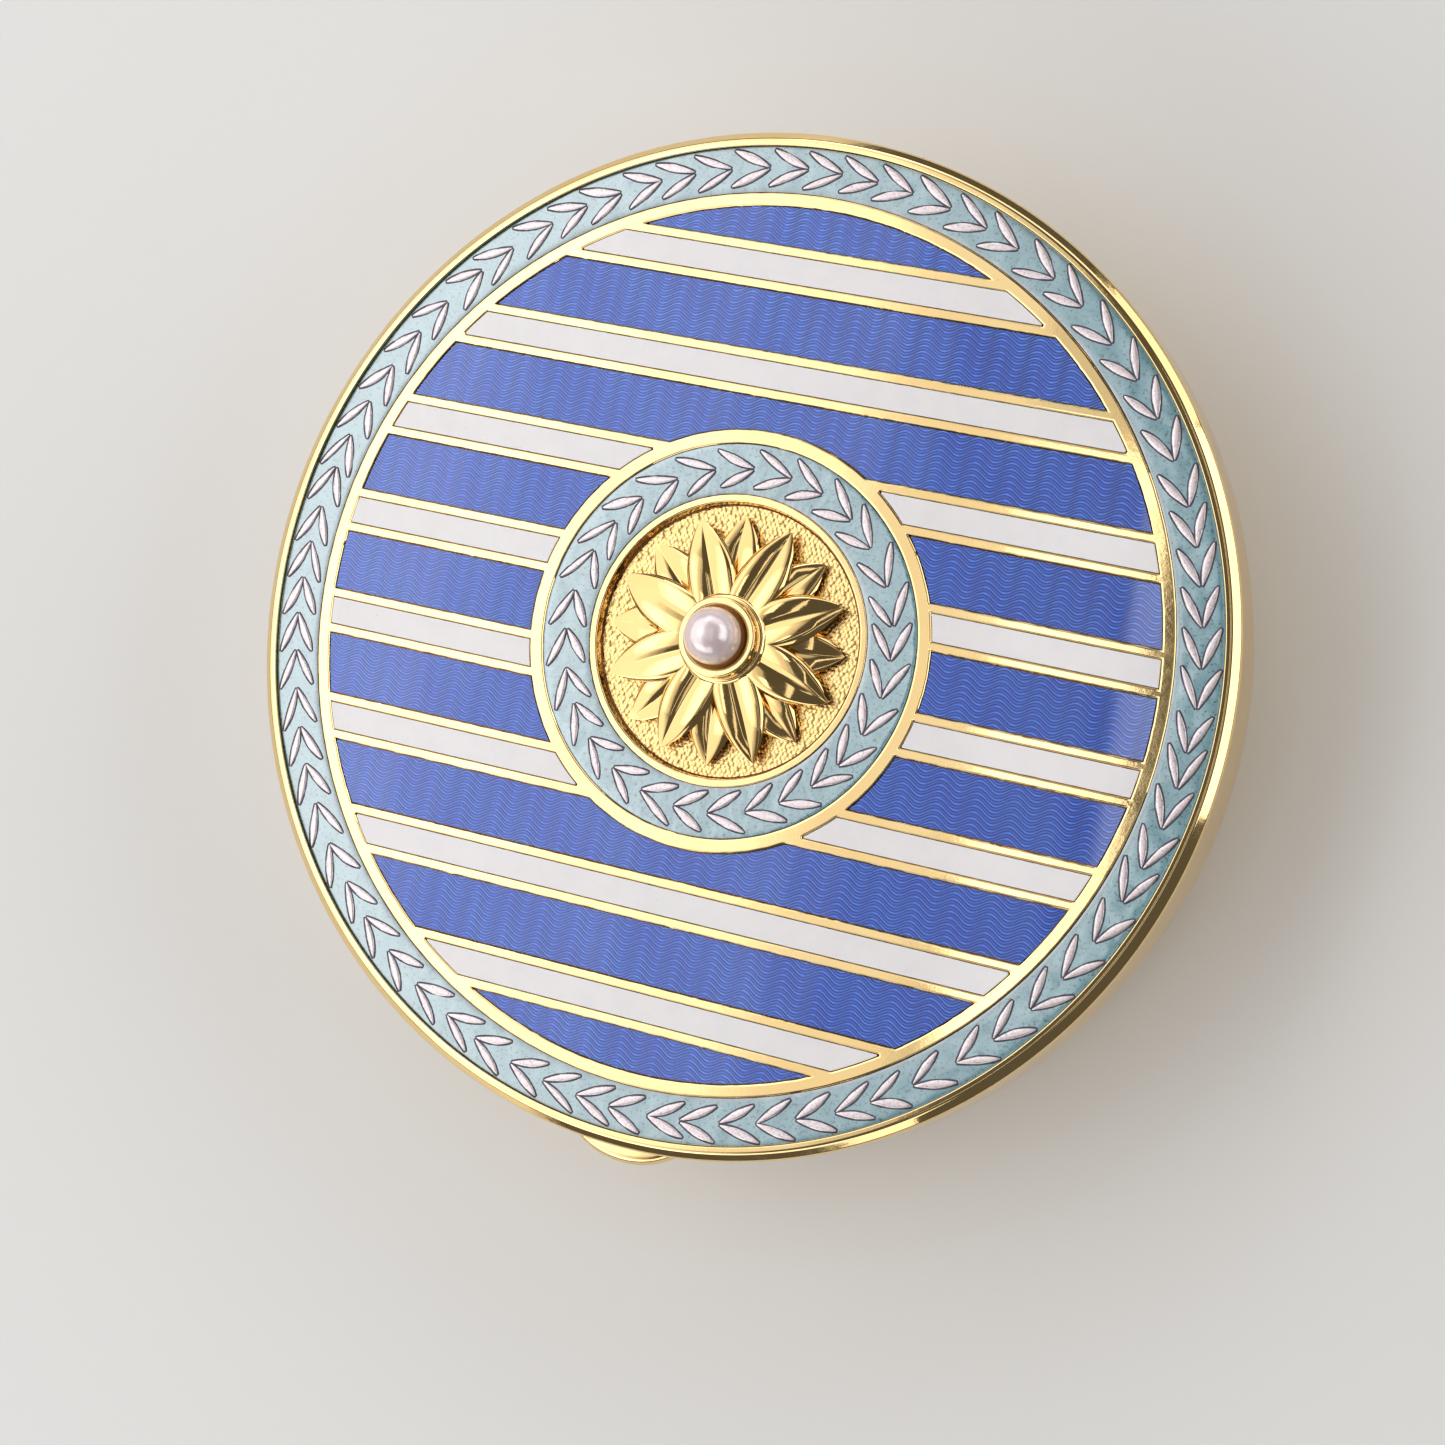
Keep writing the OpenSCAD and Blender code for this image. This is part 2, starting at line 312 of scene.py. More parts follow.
def polished_gold(name="polished_gold", wear=1.0, gap_shade_below=None, tones=(GOLD_DEEP, GOLD, GOLD_PALE)):
    """Gilt metal: soft colour drift, faint rubbing, a fine grain, and painted shade, dark brown, in the
    gaps below a level.
    """
    made, tree, shader = material(name, metallic=1.0, roughness=0.12)
    where = place(tree)
    drift = noise_of(tree, where, 0.16, 4.0)
    colour = ramp(tree, drift, list(zip((0.3, 0.52, 0.75), tones)))
    # Painted shade: below the given level the gold turns dark brown, so the narrow gaps round the fills
    # look shadowed.
    if gap_shade_below is not None:
        depth = span(tree, height_of(tree, where), (gap_shade_below - 0.13) * MM, (gap_shade_below - 0.06) * MM)
        colour = mix(tree, depth, (0.09, 0.035, 0.015), colour)
    pits = noise_of(tree, where, 2.6, 3.0, 0.6)
    colour = mix(tree, span(tree, pits, 0.72, 0.77, 0.0, 0.6 * wear), colour, (0.12, 0.06, 0.03))
    tree.links.new(colour, shader.inputs["Base Color"])
    rub = noise_of(tree, where, 0.9, 5.0, 0.6)
    rough = span(tree, rub, 0.35, 0.75, 0.04, 0.04 + 0.06 * wear)
    tree.links.new(rough, shader.inputs["Roughness"])
    grain = noise_of(tree, where, 4.5, 3.0, 0.6)
    dents = noise_of(tree, where, 0.35, 2.0)
    relief = bump(tree, grain, 0.0010 * wear)
    relief = bump(tree, dents, 0.004 * wear, 1.0, relief)
    tree.links.new(relief, shader.inputs["Normal"])
    return made


def matted_gold():
    """The sunk ground: slightly rough gold, with painted shade making it browner between the grains."""
    made, tree, shader = material("matted_gold", metallic=1.0, roughness=0.25)
    where = place(tree)
    # Painted shade: the gold darkens to brown in the low places between the punched grains.
    depth = span(tree, height_of(tree, where), (GROUND_Z - 0.03) * MM, (GROUND_Z - 0.002) * MM)
    colour = ramp(tree, depth, [(0.0, (0.42, 0.22, 0.07)), (0.45, (0.74, 0.49, 0.19)),
                                (1.0, (0.82, 0.58, 0.25))])
    tree.links.new(colour, shader.inputs["Base Color"])
    fine = noise_of(tree, where, 9.0, 3.0)
    tree.links.new(span(tree, fine, 0.3, 0.7, 0.18, 0.34), shader.inputs["Roughness"])
    tree.links.new(bump(tree, fine, 0.008, 0.5), shader.inputs["Normal"])
    return made


# How far the glaze leans in at its edge, per metre from the middle
GLAZE_DISH = 1.3


def flat_coat(tree, shader, where):
    """A clear polished surface, very slightly dished, over whatever relief lies under it."""
    lean = node_of(tree, "ShaderNodeVectorMath", {0: where}, operation="MULTIPLY_ADD")
    lean.inputs[1].default_value = (-GLAZE_DISH, -GLAZE_DISH, 0)
    lean.inputs[2].default_value = (0, 0, 1)
    up = node_of(tree, "ShaderNodeVectorTransform", {"Vector": lean.outputs["Vector"]},
                 vector_type="NORMAL", convert_from="OBJECT", convert_to="WORLD").outputs[0]
    tree.links.new(up, shader.inputs["Coat Normal"])


def blue_enamel():
    """Translucent blue over engine turning: pale on the crests and deep in the cuts, under clear glaze."""
    made, tree, shader = material("blue_enamel", metallic=0.5, roughness=0.22, specular_ior_level=0.2,
                                  coat_weight=1.0, coat_roughness=0.03, coat_ior=1.68)
    where = place(tree)
    crest = span(tree, height_of(tree, where), (FACE_Z - WAVE_DEPTH - 0.02) * MM, (FACE_Z - 0.02) * MM)
    colour = ramp(tree, crest, [(0.0, (0.001, 0.011, 0.14)), (0.35, (0.003, 0.050, 0.41)),
                                (0.7, (0.014, 0.156, 0.73)), (1.0, (0.085, 0.430, 0.98))])
    cloud = noise_of(tree, where, 0.22, 3.0)
    colour = mix(tree, span(tree, cloud, 0.35, 0.7, 0.0, 0.15), colour, (0.010, 0.070, 0.45))
    grains = noise_of(tree, where, 5.0, 4.0, 0.7)
    colour = mix(tree, span(tree, grains, 0.66, 0.74, 0.0, 0.4), colour, (0.004, 0.022, 0.15))
    tree.links.new(colour, shader.inputs["Base Color"])
    flat_coat(tree, shader, where)
    return made


def white_enamel():
    """Opaque white: barely warm, with very faint smudges and a few pinhead specks."""
    made, tree, shader = material("white_enamel", roughness=0.25, coat_weight=0.6, coat_roughness=0.06,
                                  subsurface_weight=0.12, subsurface_scale=0.0006)
    where = place(tree)
    smudge = noise_of(tree, where, 0.6, 5.0, 0.65)
    colour = ramp(tree, smudge, [(0.3, (0.715, 0.685, 0.698)), (0.55, (0.75, 0.716, 0.726)),
                                 (0.8, (0.765, 0.734, 0.739))])
    specks = noise_of(tree, where, 3.2, 2.0, 0.5)
    colour = mix(tree, span(tree, specks, 0.75, 0.79, 0.0, 0.5), colour, (0.45, 0.42, 0.42))
    tree.links.new(colour, shader.inputs["Base Color"])
    tree.links.new(bump(tree, smudge, 0.02, 0.2), shader.inputs["Normal"])
    return made


def teal_enamel(name, ring):
    """Blue-green enamel with a soft haze, flecked with darker grains, with painted shade: greyer along its
    inner edge and darker at both edges next to the gold.
    """
    made, tree, shader = material(name, roughness=0.22, specular_ior_level=0.6, coat_weight=1.0,
                                  coat_roughness=0.15, coat_ior=2.5)
    where = place(tree)
    cloud = noise_of(tree, where, 1.3, 5.0, 0.6)
    colour = ramp(tree, cloud, [(0.3, (0.080, 0.222, 0.276)), (0.5, (0.108, 0.278, 0.332)),
                                (0.7, (0.142, 0.325, 0.376))])
    level = node_of(tree, "ShaderNodeVectorMath", {0: where}, operation="MULTIPLY")
    level.inputs[1].default_value = (1, 1, 0)
    distance = node_of(tree, "ShaderNodeVectorMath", {0: level.outputs["Vector"]}, operation="LENGTH")
    reach = distance.outputs["Value"]
    # Painted shade: a grey band along the inner edge, where the enamel dips down to the gold ring.
    band = span(tree, reach, (ring[0] + 0.10) * MM, (ring[0] + 0.36) * MM, 0.5, 0.0)
    colour = mix(tree, band, colour, (0.060, 0.105, 0.125))
    # Painted shade: both edges darken where the enamel dips into the gap against the gold.
    edges = ((ring[0] + 0.10, ring[0] + 0.03, 0.8), (ring[1] - 0.09, ring[1] - 0.02, 0.45))
    for low, high, dark in edges:
        colour = mix(tree, span(tree, reach, low * MM, high * MM, 0.0, dark), colour, (0.03, 0.04, 0.055))
    flecks = noise_of(tree, where, 5.5, 3.0, 0.6)
    colour = mix(tree, span(tree, flecks, 0.57, 0.64, 0.0, 0.9), colour, (0.02, 0.055, 0.08))
    dots = node_of(tree, "ShaderNodeTexVoronoi", {"Vector": where, "Scale": 3.2 / MM, "Randomness": 1.0})
    dot = span(tree, dots.outputs["Distance"], 0.08, 0.17, 0.8, 0.0)
    colour = mix(tree, dot, colour, (0.02, 0.05, 0.07))
    tree.links.new(colour, shader.inputs["Base Color"])
    pits = maths(tree, "ADD", maths(tree, "MULTIPLY", flecks, -0.6), maths(tree, "MULTIPLY", dot, -0.5))
    tree.links.new(bump(tree, pits, 0.03, 0.5), shader.inputs["Normal"])
    return made


def leaf_foil():
    """Pinkish silver foil, finely streaked."""
    made, tree, shader = material("leaf_foil", metallic=0.8, roughness=0.36, coat_weight=0.4,
                                  coat_roughness=0.1)
    where = place(tree)
    streaks = noise_of(tree, where, 9.0, 4.0, 0.7, 0.6)
    colour = ramp(tree, streaks, [(0.32, (0.42, 0.36, 0.38)), (0.48, (0.72, 0.63, 0.65)),
                                  (0.7, (0.80, 0.71, 0.73))])
    tree.links.new(colour, shader.inputs["Base Color"])
    tree.links.new(bump(tree, streaks, 0.01, 0.5), shader.inputs["Normal"])
    return made


def leaf_edge():
    """The dark line round each leaf."""
    made, tree, shader = material("leaf_edge", metallic=0.3, roughness=0.45)
    grime = noise_of(tree, place(tree), 4.0, 3.0)
    colour = ramp(tree, grime, [(0.3, (0.030, 0.035, 0.060)), (0.7, (0.085, 0.075, 0.095))])
    tree.links.new(colour, shader.inputs["Base Color"])
    return made


def nacre():
    """Pearl: pinkish, softly glowing, with a bright gloss."""
    made, tree, shader = material("pearl", roughness=0.3, coat_weight=1.0, coat_roughness=0.23,
                                  coat_ior=3.0, subsurface_weight=0.25, subsurface_scale=0.0005)
    where = place(tree)
    veil = noise_of(tree, where, 0.9, 3.0)
    colour = ramp(tree, veil, [(0.3, (0.74, 0.57, 0.58)), (0.55, (0.80, 0.65, 0.66)),
                               (0.8, (0.84, 0.72, 0.72))])
    tree.links.new(colour, shader.inputs["Base Color"])
    tree.links.new(bump(tree, veil, 0.02, 0.2), shader.inputs["Normal"])
    return made


def pale_floor():
    """Plain pale studio floor."""
    made, tree, shader = material("pale_floor", roughness=0.6)
    tone = noise_of(tree, place(tree), 0.004, 2.0)
    colour = ramp(tree, tone, [(0.3, (0.70, 0.69, 0.68)), (0.7, (0.74, 0.73, 0.72))])
    tree.links.new(colour, shader.inputs["Base Color"])
    return made


# ---------------------------------------------------------------- enamel field: outlines

def arc(radius, start, end, step=0.12):
    """Points on a circle round the axis, from one angle to another."""
    count = max(2, int(abs(end - start) * radius / step))
    return [(radius * math.cos(start + (end - start) * k / count),
             radius * math.sin(start + (end - start) * k / count)) for k in range(count + 1)]


def line(a, b, step=0.12):
    """Points on a straight line."""
    count = max(1, int(math.dist(a, b) / step))
    return [(a[0] + (b[0] - a[0]) * k / count, a[1] + (b[1] - a[1]) * k / count) for k in range(count + 1)]


def joined(parts):
    """A closed outline from stretches that meet end to end."""
    points = [p for part in parts for p in part]
    return [p for i, p in enumerate(points) if math.dist(p, points[i - 1]) > 0.02]


def half_width(radius, y):
    """Half the length of a circle's chord at height y."""
    return math.sqrt(max(radius * radius - y * y, 0.0))


def cell_box(node):
    """A cell's lowest and highest y, and -1, 0 or 1 for left of the medallion, across, or right of it."""
    low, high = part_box(node)
    side = 0 if low.x * high.x < 0 else int(math.copysign(1, low.x + high.x))
    return low.y / MM, high.y / MM, side


def cell_outline(node, inset):
    """Anticlockwise outline of an enamel cell, moved in by inset."""
    y0, y1, side = cell_box(node)
    flip = y0 + y1 < -0.01
    if flip:
        y0, y1 = -y1, -y0
    y0, y1 = y0 + inset, y1 - inset
    field, medal = FIELD_R - inset, MEDALLION_R + inset
    a0, a1 = math.asin(y0 / field), math.asin(min(1.0, y1 / field))
    x0, x1 = half_width(field, y0), half_width(field, y1)
    if side == 0:
        notch = half_width(medal, y0)
        if notch > 0 and y0 > 0:
            b0 = math.asin(y0 / medal)
            lower = [line((-x0, y0), (-notch, y0)), arc(medal, math.pi - b0, b0),
                     line((notch, y0), (x0, y0))]
        else:
            lower = [line((-x0, y0), (x0, y0))]
        points = joined(lower + [arc(field, a0, a1), line((x1, y1), (-x1, y1)),
                                 arc(field, math.pi - a1, math.pi - a0)])
    else:
        b0, b1 = math.asin(y0 / medal), math.asin(y1 / medal)
        points = joined([line((half_width(medal, y0), y0), (x0, y0)), arc(field, a0, a1),
                         line((x1, y1), (half_width(medal, y1), y1)), arc(medal, b1, b0)])
    if side < 0:
        points = [(-x, y) for x, y in reversed(points)]
    if flip:
        points = [(x, -y) for x, y in reversed(points)]
    return points


def blunt(points, cut):
    """An outline with its sharp corners cut off."""
    ahead = np.roll(points, -1, 0) - np.asarray(points)
    heading = np.arctan2(ahead[:, 1], ahead[:, 0])
    turn = np.abs((heading - np.roll(heading, 1) + math.pi) % TAU - math.pi)
    corners = [p for p, angle in zip(points, turn) if angle > math.radians(125)]
    return [p for p in points if all(math.dist(p, corner) > cut for corner in corners)]


def left_normals(points):
    """Unit normals to the left of a closed outline's direction, sharpened at its corners."""
    p = np.asarray(points)
    forward = np.roll(p, -1, 0) - p
    forward /= np.linalg.norm(forward, axis=1)[:, None] + 1e-12
    back = np.roll(forward, 1, 0)
    total = forward + back
    size = np.linalg.norm(total, axis=1)[:, None] + 1e-12
    direction = total / size
    left = np.stack([-direction[:, 1], direction[:, 0]], 1)
    return left / np.clip(size / 2, 0.5, 1)


def ragged(points, amount, scale, seed, bites=0.0):
    """An outline with hand-worn edges: small wandering, and now and then a bite out of the material."""
    normals = left_normals(points)
    worn = []
    for (x, y), (nx, ny) in zip(points, normals):
        push = amount * wander(x, y, scale, seed)
        bite = max(0.0, wander(x, y, scale * 0.8, seed + 40) - 0.45) * bites
        worn.append((x + nx * (push + bite), y + ny * (push + bite)))
    return worn


def prism(bm, loops, z0, z1, edge, steps=3):
    """A solid between two levels from an outline and its holes, each with the material on its left.

    Top edges are rounded, and a last ring just inside them keeps the flat part flat.
    """
    tops, lows = [], []
    for loop in loops:
        base = np.asarray(loop)
        rings = [[bm.verts.new((x, y, z0)) for x, y in base]]
        if edge:
            normals = left_normals(loop)
            for k in range(steps + 1):
                turn = math.pi / 2 * k / steps
                moved = base + normals * edge * (1 - math.cos(turn))
                level = z1 - edge + edge * math.sin(turn)
                rings.append([bm.verts.new((x, y, level)) for x, y in moved])
            base = base + normals * 1.4 * edge
        rings.append([bm.verts.new((x, y, z1)) for x, y in base])
        for lower, upper in zip(rings, rings[1:]):
            for k in range(len(loop)):
                nk = (k + 1) % len(loop)
                bm.faces.new((lower[k], lower[nk], upper[nk], upper[k]))
        lows.append(rings[0])
        tops.append(rings[-1])
    if len(loops) == 1:
        bm.faces.new(tops[0])
        bm.faces.new(lows[0][::-1])
        return
    for rings, flip in ((tops, False), (lows, True)):
        flat = [v for ring in rings for v in ring]
        for tri in tessellate_polygon([[Vector((v.co.x, v.co.y, 0)) for v in ring] for ring in rings]):
            corners = [flat[i] for i in tri]
            area = (corners[1].co - corners[0].co).cross(corners[2].co - corners[0].co).z
            if abs(area) > 1e-9:
                up = corners if area > 0 else corners[::-1]
                bm.faces.new(up[::-1] if flip else up)


# ---------------------------------------------------------------- lid: gold plate and fills

EDGE = 0.08
BEVEL = 0.165
TIP_CUT = 0.12


def gold_plate(gold):
    """The plate with its cells: a solid disc under a lattice of gold lines."""
    bm = bmesh.new()
    holes = []
    for index, node in enumerate(BLUE + WHITE):
        if node in BLUE:
            wear = dict(amount=0.018, bites=-0.10)
            loop = cell_outline(node, 0.0)[::-1]
        else:
            wear = dict(amount=0.008, bites=-0.03)
            loop = blunt(cell_outline(node, 0.0), TIP_CUT)[::-1]
        holes.append(ragged(loop, scale=0.5, seed=index * 3.7, **wear))
    outer = ragged(arc(OUTER_RING[0], 0, TAU)[:-1], 0.012, 0.6, 90, 0.05)
    inner = ragged(arc(INNER_RING[1], TAU, 0)[:-1], 0.012, 0.6, 91, -0.05)
    prism(bm, [outer, inner] + holes, CELL_Z, FACE_Z, EDGE)
    floor_z = levels("medallion_ground")[0]
    bore = arc(RECESS_R, TAU, 0)[:-1]
    prism(bm, [arc(PLATE_R, 0, TAU)[:-1], bore], floor_z, CELL_Z, 0.0, 1)
    prism(bm, [arc(PLATE_R, 0, TAU)[:-1], arc(STUD_R, TAU, 0, 0.05)[:-1]], PLATE_Z0, floor_z, 0.0, 1)
    bmesh.ops.remove_doubles(bm, verts=bm.verts, dist=1e-5)
    bmesh.ops.dissolve_degenerate(bm, edges=bm.edges, dist=1e-6)
    return from_bmesh(bm, "gold_plate", ["enamel_plate"], "lid", gold, 25)


def recess_ring(gold):
    """The gold ring round the medallion's recess, with a slope down to the matted ground."""
    outline = [(RECESS_R, CELL_Z - 0.05), (INNER_RING[0], CELL_Z - 0.05), (INNER_RING[0], FACE_Z),
               (RECESS_R + BEVEL, FACE_Z), (RECESS_R + 0.05, GROUND_Z + 0.10), (RECESS_R, GROUND_Z)]
    points, faces = lathe(rounded(outline, [0, 0, 0.06, 0.07, 0.04, 0]), 480)
    for k in range(len(points)):
        x, y = points[k, 0], points[k, 1]
        push = 1 + 0.012 * wander(x, y, 0.4, 92) / math.hypot(x, y)
        points[k, :2] = x * push, y * push
    faces = [face[::-1] for face in faces]
    return build("recess_ring", points, faces, [], "lid", gold, 40)


WAVE_LINE = 0.149
WAVE_LENGTH = 1.84
WAVE_SWING = 0.21
WAVE_CREST_X = 12.12
WAVE_DEPTH = 0.06
RELIEF = [1.0, 0.42, 0.0, 0.34, 0.62, 0.28, 0.0, 0.40]


def wave_sheet(x0, x1, y0, y1):
    """Rows of points that follow the engraved waves and cover a box in plan."""
    step = WAVE_LINE / 4
    x = np.linspace(x0, x1, int((x1 - x0) / (WAVE_LENGTH / 12)) + 2)
    swing = WAVE_SWING * np.cos((x - WAVE_CREST_X) * TAU / WAVE_LENGTH)
    rows = []
    for j in range(math.floor((y0 - WAVE_SWING) / step) - 1, math.ceil((y1 + WAVE_SWING) / step) + 2):
        depth = WAVE_DEPTH * (1 - RELIEF[j % 8] * (0.9 + 0.1 * np.sin(x * 0.9 + j * 0.05)))
        rows.append(np.stack([x, j * step + swing, FACE_Z - 0.02 - depth], 1))
    return rows


def blue_fill(node, number, blue):
    """One blue fill: its engine-turned waves are cut in the surface, crests level with the face."""
    outline = np.array(cell_outline(node, GAP))
    (x0, y0), (x1, y1) = outline.min(0) - 0.3, outline.max(0) + 0.3
    sheet, cookie = bmesh.new(), bmesh.new()
    solid_from_grid(sheet, wave_sheet(x0, x1, y0, y1), CELL_Z)
    prism(cookie, [outline], CELL_Z - 0.2, FACE_Z + 0.2, 0.0, 1)
    bmesh.ops.remove_doubles(cookie, verts=cookie.verts, dist=1e-5)
    bm = overlap(sheet, cookie)
    return from_bmesh(bm, f"blue_glass_{number}", [node], "lid", blue, 70)


def overlap(*solids):
    """The bmesh of what two closed bmeshes have in common."""
    objects = []
    for bm in solids:
        bmesh.ops.recalc_face_normals(bm, faces=bm.faces)
        mesh = bpy.data.meshes.new("solid")
        bm.to_mesh(mesh)
        bm.free()
        objects.append(bpy.data.objects.new("solid", mesh))
        bpy.context.scene.collection.objects.link(objects[-1])
    modifier = objects[0].modifiers.new("overlap", "BOOLEAN")
    modifier.operation = "INTERSECT"
    modifier.solver = "MANIFOLD"
    modifier.object = objects[1]
    result = bmesh.new()
    result.from_object(objects[0], bpy.context.evaluated_depsgraph_get())
    for obj in objects:
        bpy.data.meshes.remove(obj.data)
    return result


def white_fill(node, number, white):
    """One white fill: a slab with softly rounded, slightly uneven edges."""
    bm = bmesh.new()
    loop = ragged(blunt(cell_outline(node, GAP * 0.6), TIP_CUT), 0.008, 0.5, 60 + number, 0.03)
    prism(bm, [loop], CELL_Z, FACE_Z - 0.01, 0.025)
    return from_bmesh(bm, f"white_glass_{number}", [node], "lid", white, 35)


def teal_fill(name, node, inner, outer, teal):
    """A ring of enamel, a little hollow where it meets the gold."""
    inner, outer = inner + GAP * 0.6, outer - GAP * 0.6
    across, around = 18, 720
    share = np.linspace(0, 1, across)
    reach = inner + (outer - inner) * (0.5 - 0.5 * np.cos(math.pi * share))
    dip = 0.018 * np.exp(-(reach - inner) / 0.10) + 0.018 * np.exp(-(outer - reach) / 0.08)
    outline = [(r, FACE_Z - 0.03 - d) for r, d in zip(reach, dip)]
    outline += [(outer, CELL_Z), (inner, CELL_Z)]
    points, faces = lathe(outline, around)
    top = np.tile(np.arange(len(outline)) < across, around)
    for k in np.nonzero(top)[0]:
        x, y = points[k, 0], points[k, 1]
        points[k, 2] += 0.010 * wander(x, y, 0.9, 5) + 0.005 * wander(x, y, 0.25, 8)
    return build(name, points, [f[::-1] for f in faces], [node], "lid", teal, 50)


# ---------------------------------------------------------------- lid: leaves

# Each leaf ring: pairs, turning angle, radius of the point, radii of the two tips, the angle between them,
# the slow drift of the spacing (degrees, waves round the ring, phase) and its scatter
OUTER_LEAVES = dict(pairs=72, turn=3.35, point=23.2, tips=(24.06, 22.3), sweep=4.5,
                    drift=(1.2, 4, 160), jitter=0.25)
INNER_LEAVES = dict(pairs=28, turn=5.7, point=8.38, tips=(9.35, 7.44), sweep=11.6,
                    drift=(2.2, 1, -145), jitter=0.5)
LEAF_WIDTH = 0.345
LEAF_HEIGHT = 0.045
LEAF_LINE = 0.07


def leaf_places(pairs, turn, point, tips, sweep, drift, jitter):
    """Start, end, width and bend of every leaf, each a little different from its neighbours."""
    size, waves, phase = drift
    places = []
    for i in range(pairs):
        round_to = turn + i * 360 / pairs
        shift = size * math.sin(math.radians(waves * round_to + phase)) + rng.normal(0, jitter)
        angle = math.radians(round_to + shift)
        for tip in tips:
            way = 1 if tip > point else -1
            r0 = point + 0.05 * way + rng.normal(0, 0.02)
            r1 = tip + rng.normal(0, 0.04)
            a1 = angle + math.radians(sweep * (1 + rng.normal(0, 0.035)))
            start = (r0 * math.cos(angle), r0 * math.sin(angle))
            end = (r1 * math.cos(a1), r1 * math.sin(a1))
            width = LEAF_WIDTH * (1 + rng.normal(0, 0.07))
            bend = way * rng.uniform(-0.02, 0.06)
            places.append((start, end, width, bend))
    return places


def leaf_grid(start, end, width, bend, level, height, grow=0.0, along=17, across=7):
    """Top points of one thin leaf: it tapers to the point of its pair and has a round tip."""
    a, b = np.array(start), np.array(end)
    size = np.linalg.norm(b - a)
    ahead = (b - a) / size
    aside = np.array([-ahead[1], ahead[0]])
    rows = []
    for i in range(along):
        t = 0.5 - 0.5 * math.cos(math.pi * i / (along - 1))
        half = (width / 2) * math.sin(math.pi * t ** 1.08) ** 0.74 + 0.02 + grow
        u = 2 * t - 1
        middle = (a + b) / 2 + ahead * u * (size / 2 + grow) + aside * bend * (1 - u * u)
        row = []
        for j in range(across):
            v = -1 + 2 * j / (across - 1)
            p = middle + aside * v * half
            row.append((p[0], p[1], level + height * (1 - 0.8 * v ** 6) * (1 - 0.6 * u ** 8)))
        rows.append(row)
    return rows


def leaf_ring(name, node, layout, foil, edge):
    """All the leaves of a ring, and the dark line round each."""
    places = leaf_places(**layout)
    level = FACE_Z - 0.03
    bm = bmesh.new()
    for start, end, width, bend in places:
        solid_from_grid(bm, leaf_grid(start, end, width, bend, level, LEAF_HEIGHT), CELL_Z + 0.2)
    leaves = from_bmesh(bm, name, [node], "lid", foil, 60)
    bm = bmesh.new()
    for start, end, width, bend in places:
        grid = leaf_grid(start, end, width, bend, level - 0.005, 0.025, grow=LEAF_LINE, across=5)
        solid_from_grid(bm, grid, CELL_Z + 0.25)
    from_bmesh(bm, name + "_edging", [], "lid", edge, 60)
    return leaves


# ---------------------------------------------------------------- lid: medallion

def ground(mat):
    """The sunk disc, matted all over with a round punch."""
    pitch = 0.23
    marks = []
    rows = int(RECESS_R / (pitch * 0.866)) + 1
    for i in range(-rows, rows + 1):
        for j in range(-rows - 6, rows + 7):
            x = (j + 0.5 * (i % 2)) * pitch + rng.normal(0, 0.13 * pitch)
            y = i * pitch * 0.866 + rng.normal(0, 0.13 * pitch)
            if math.hypot(x, y) < RECESS_R + pitch:
                marks.append((x, y))
    tree = kdtree.KDTree(len(marks))
    for k, (x, y) in enumerate(marks):
        tree.insert((x, y, 0), k)
    tree.balance()
    bm = bmesh.new()
    around, across = 1080, 130
    inner = 1.6
    rings = []
    for i in range(across):
        r = inner + (RECESS_R - inner) * i / (across - 1)
        ring = []
        for k in range(around):
            x, y = r * math.cos(k * TAU / around), r * math.sin(k * TAU / around)
            near = tree.find((x, y, 0))[2]
            grain = max(0.0, 1 - (near / (0.62 * pitch)) ** 3.5)
            ring.append(bm.verts.new((x, y, GROUND_Z + 0.025 * (grain - 1))))
        rings.append(ring)
    low_z = levels("medallion_ground")[0]
    skirt = [bm.verts.new((v.co.x, v.co.y, low_z)) for v in rings[-1]]
    hole = [bm.verts.new((v.co.x, v.co.y, low_z)) for v in rings[0]]
    loops = rings + [skirt, hole, rings[0]]
    for ring_a, ring_b in zip(loops, loops[1:]):
        for k in range(around):
            nk = (k + 1) % around
            bm.faces.new((ring_a[k], ring_b[k], ring_b[nk], ring_a[nk]))
    return from_bmesh(bm, "punched_ground", ["medallion_ground"], "lid", mat, 80)


def petal_grid(angle, root_r, tip_r, width, root_z, tip_z, arch, lean):
    """Top points of one chased petal: it dips to a crease along its middle, between two raised lobes."""
    along, across = 34, 41
    rows = []
    for i in range(along):
        s = i / (along - 1)
        t = (s + 0.22) / 1.22
        u = 2 * t - 1
        full = (1 - u ** 2.1) ** 0.95 if u > 0 else (1 - abs(u) ** 2.6) ** 0.78
        half = width / 2 * full + 0.012
        sway = lean * (math.sin(math.pi * s) * 0.14 + s * s * 0.10)
        r = root_r + (tip_r - root_r) * s
        level = root_z + (tip_z - root_z) * s + arch * math.sin(math.pi * s)
        fade = min(1.0, (1 - s) / 0.30) ** 0.8 * min(1.0, 0.45 + s / 0.3)
        row = []
        for j in range(across):
            v = -1 + 2 * j / (across - 1)
            v = 0.75 * v + 0.25 * v ** 3
            w = abs(v - 0.05 * lean * (1 - v * v))
            lobe = 0.36 * min(1.0, w / 0.20) ** 0.8 + 0.64 * math.sin(math.pi / 2 * min(1.0, w / LOBE_TOP))
            lobe -= 1.5 * max(0.0, (w - LOBE_TOP) / (1 - LOBE_TOP)) ** 2.4
            x, y = r, sway + v * half
            row.append((x * math.cos(angle) - y * math.sin(angle),
                        x * math.sin(angle) + y * math.cos(angle),
                        level + LOBE_HEIGHT * lobe * fade * full))
        rows.append(row)
    return rows


